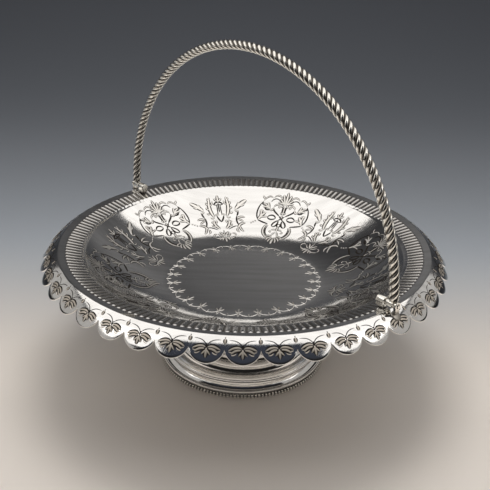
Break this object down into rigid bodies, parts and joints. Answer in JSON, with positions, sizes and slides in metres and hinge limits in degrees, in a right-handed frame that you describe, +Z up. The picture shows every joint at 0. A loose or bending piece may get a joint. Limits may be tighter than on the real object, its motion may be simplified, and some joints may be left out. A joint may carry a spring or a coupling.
{
  "type": "swing-handle basket",
  "caption": "Round footed dish with a scalloped flange, a fluted rim and a twisted bar handle that swings on two hinges.",
  "frame": {"origin": "centre of the foot's resting plane, under the middle of the dish", "axes": "+Z up along the dish's axis, +X along the hinge line, handle upright at rest"},
  "size_m": [0.26, 0.2592, 0.2117],
  "materials": {
    "polished_silver_plate": "polished silver plate",
    "worn_silver_plate": "lightly worn silver plate, slightly warm"
  },
  "bodies": {
    "base": {"dish": "polished_silver_plate", "foot": "polished_silver_plate", "foot_bead_wire": "worn_silver_plate", "hinge_barrel_right": "worn_silver_plate", "hinge_barrel_left": "worn_silver_plate", "hinge_ear_right": "worn_silver_plate", "hinge_ear_left": "worn_silver_plate", "hinge_pin_right": "worn_silver_plate", "hinge_pin_left": "worn_silver_plate"},
    "handle": {"handle_bar": "worn_silver_plate", "handle_knuckle_right": "worn_silver_plate", "handle_knuckle_left": "worn_silver_plate"}
  },
  "joints": [
    {"name": "handle_swing", "type": "hinge", "parent": "base", "child": "handle", "pos_m": [0, 0, 0.0887], "axis": [1, 0, 0], "range_deg": [-90, 90]}
  ]
}
